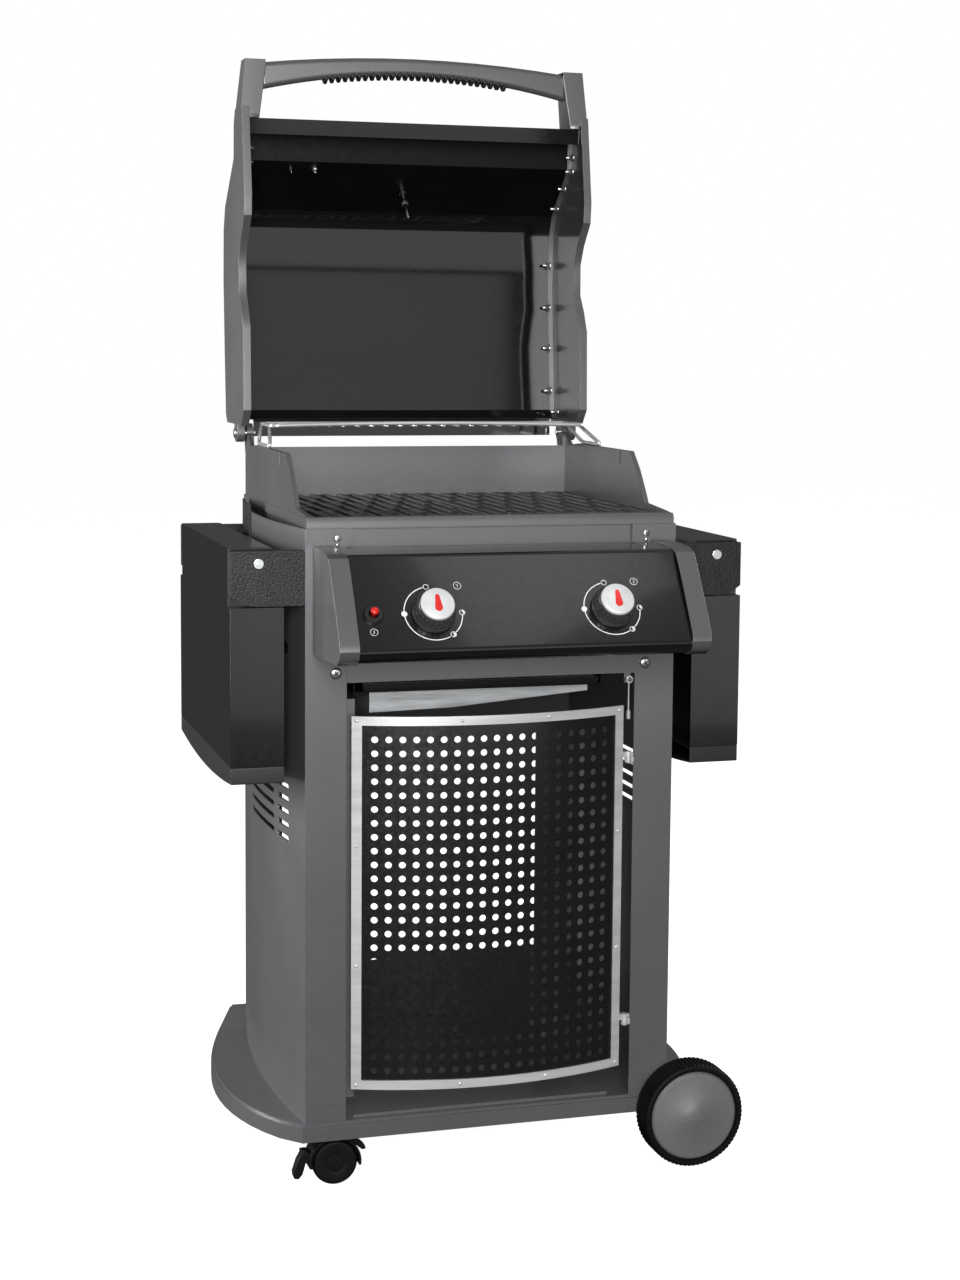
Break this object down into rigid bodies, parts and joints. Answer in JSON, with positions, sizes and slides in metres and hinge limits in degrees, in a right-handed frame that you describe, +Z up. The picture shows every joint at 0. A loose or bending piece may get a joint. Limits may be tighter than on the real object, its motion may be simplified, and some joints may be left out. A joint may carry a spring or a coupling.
{
  "type": "gas barbecue grill",
  "caption": "Cart-mounted gas barbecue grill with a hinged lid, fold-down side tables, a bowed perforated door, twin control knobs, casters and large wheels.",
  "frame": {"origin": "centre of the bounding box on the ground, with the lid open and the side tables folded down", "axes": "+X to the right of someone facing the controls, +Y to the back, +Z up"},
  "size_m": [0.742, 0.816, 1.623],
  "materials": {
    "grey_paint": "satin metallic",
    "light_grey_casting": "satin metallic",
    "black_enamel": "gloss",
    "grate_enamel": "satin enamel",
    "dark_steel": "satin",
    "bright_steel": "galvanised",
    "brass_fittings": "satin",
    "ceramic": "glazed",
    "chrome_wire": "polished",
    "black_plastic": "matte",
    "red_plastic": "gloss",
    "silver_plastic": "satin silver",
    "anodised": "satin anodised",
    "gauge_chrome": "polished",
    "door_enamel": "gloss",
    "tyre_rubber": "matte",
    "dark_plastic": "matte"
  },
  "bodies": {
    "cart": {"base_panel": "grey_paint", "side_panel_left": "grey_paint", "side_panel_right": "grey_paint", "front_cross_member": "grey_paint", "front_top_rail": "grey_paint", "corner_plates": "grey_paint", "rear_lower_panel": "grey_paint", "rear_upper_panel": "grey_paint", "frame_screws": "dark_steel", "door_hinge_brackets": "anodised", "tray_rails": "dark_steel", "cookbox": "grey_paint", "grate_left": "grate_enamel", "grate_right": "grate_enamel", "heat_tents": "dark_steel", "burner_tubes": "bright_steel", "gas_manifold": "bright_steel", "gas_valves": "brass_fittings", "igniter_electrode": "ceramic", "warming_rack": "chrome_wire", "rack_legs": "chrome_wire", "control_panel": "black_enamel", "panel_end_left": "grey_paint", "panel_end_right": "grey_paint", "igniter_socket": "black_plastic", "table_arms_left": "black_plastic", "table_arms_right": "black_plastic", "table_pins": "bright_steel", "axle_rod": "bright_steel", "caster_stems": "bright_steel"},
    "lid": {"lid_shroud": "black_enamel", "lid_end_left": "light_grey_casting", "lid_end_right": "light_grey_casting", "lid_handle": "light_grey_casting", "handle_grip": "black_plastic", "lid_hinge_pins": "bright_steel", "thermometer_case": "gauge_chrome"},
    "thermometer_needle": {"thermometer_needle": "red_plastic"},
    "left_table": {"table_left": "black_enamel", "table_end_left": "black_plastic"},
    "right_table": {"table_right": "black_enamel", "table_end_right": "black_plastic"},
    "door": {"door_panel": "door_enamel", "door_frame": "anodised"},
    "left_knob": {"knob_left": "silver_plastic"},
    "right_knob": {"knob_right": "silver_plastic"},
    "igniter_button": {"igniter_button": "red_plastic"},
    "grease_tray": {"grease_tray": "dark_steel", "drip_pan": "bright_steel"},
    "match_holder": {"match_holder": "bright_steel"},
    "front_wheel": {"wheel_front_tyre": "tyre_rubber", "wheel_front_hub": "grey_paint"},
    "rear_wheel": {"wheel_rear_tyre": "tyre_rubber", "wheel_rear_hub": "grey_paint"},
    "front_caster": {"caster_front_hood": "black_plastic"},
    "front_caster_wheels": {"caster_front_wheels": "dark_plastic"},
    "front_caster_brake": {"caster_front_brake": "black_plastic"},
    "rear_caster": {"caster_rear_hood": "black_plastic"},
    "rear_caster_wheels": {"caster_rear_wheels": "dark_plastic"},
    "rear_caster_brake": {"caster_rear_brake": "black_plastic"}
  },
  "joints": [
    {"name": "lid_hinge", "type": "hinge", "parent": "cart", "child": "lid", "pos_m": [0, 0.26, 1.0425], "axis": [1, 0, 0], "range_deg": [0, 90]},
    {"name": "thermometer_needle_turn", "type": "hinge", "parent": "lid", "child": "thermometer_needle", "pos_m": [0, 0.3105, 1.4295], "axis": [0, -0.6684, -0.7438], "range_deg": [0, 250], "stiffness_Nm_per_rad": 0.002, "springref_deg": -28.65},
    {"name": "left_table_fold", "type": "hinge", "parent": "cart", "child": "left_table", "pos_m": [-0.3325, -0.005, 0.887], "axis": [0, 1, 0], "range_deg": [0, 90]},
    {"name": "right_table_fold", "type": "hinge", "parent": "cart", "child": "right_table", "pos_m": [0.3325, -0.005, 0.887], "axis": [0, -1, 0], "range_deg": [0, 90]},
    {"name": "door_hinge", "type": "hinge", "parent": "cart", "child": "door", "pos_m": [0.199, -0.237, 0.412], "axis": [0, 0, 1], "range_deg": [0, 100]},
    {"name": "left_knob_turn", "type": "hinge", "parent": "cart", "child": "left_knob", "pos_m": [-0.125, -0.36888, 0.8313], "axis": [0, -0.8298, 0.5581], "range_deg": [0, 220]},
    {"name": "right_knob_turn", "type": "hinge", "parent": "cart", "child": "right_knob", "pos_m": [0.125, -0.36888, 0.8313], "axis": [0, -0.8298, 0.5581], "range_deg": [0, 220]},
    {"name": "igniter_press", "type": "slide", "parent": "cart", "child": "igniter_button", "axis": [0, 0.8298, -0.5581], "range_m": [0, 0.004], "stiffness_N_per_m": 300, "springref_m": -0.002},
    {"name": "grease_tray_slide", "type": "slide", "parent": "cart", "child": "grease_tray", "axis": [0, -1, 0], "range_m": [0, 0.25]},
    {"name": "match_holder_swing", "type": "hinge", "parent": "cart", "child": "match_holder", "pos_m": [0.199, -0.236, 0.712], "axis": [0, -1, 0], "range_deg": [0, 30]},
    {"name": "front_wheel_roll", "type": "hinge", "parent": "cart", "child": "front_wheel", "pos_m": [0.295, -0.2555, 0.076], "axis": [0, 1, 0], "continuous": true},
    {"name": "rear_wheel_roll", "type": "hinge", "parent": "cart", "child": "rear_wheel", "pos_m": [0.295, 0.3855, 0.076], "axis": [0, 1, 0], "continuous": true},
    {"name": "front_caster_swivel", "type": "hinge", "parent": "cart", "child": "front_caster", "pos_m": [-0.208, -0.19, 0.07], "axis": [0, 0, 1], "continuous": true},
    {"name": "front_caster_roll", "type": "hinge", "parent": "front_caster", "child": "front_caster_wheels", "pos_m": [-0.22, -0.19, 0.0325], "axis": [0, 1, 0], "continuous": true},
    {"name": "front_caster_brake_press", "type": "hinge", "parent": "front_caster", "child": "front_caster_brake", "pos_m": [-0.2615, -0.19, 0.042], "axis": [0, -1, 0], "range_deg": [0, 10]},
    {"name": "rear_caster_swivel", "type": "hinge", "parent": "cart", "child": "rear_caster", "pos_m": [-0.208, 0.315, 0.07], "axis": [0, 0, 1], "continuous": true},
    {"name": "rear_caster_roll", "type": "hinge", "parent": "rear_caster", "child": "rear_caster_wheels", "pos_m": [-0.22, 0.315, 0.0325], "axis": [0, 1, 0], "continuous": true},
    {"name": "rear_caster_brake_press", "type": "hinge", "parent": "rear_caster", "child": "rear_caster_brake", "pos_m": [-0.2615, 0.315, 0.042], "axis": [0, -1, 0], "range_deg": [0, 10]}
  ]
}
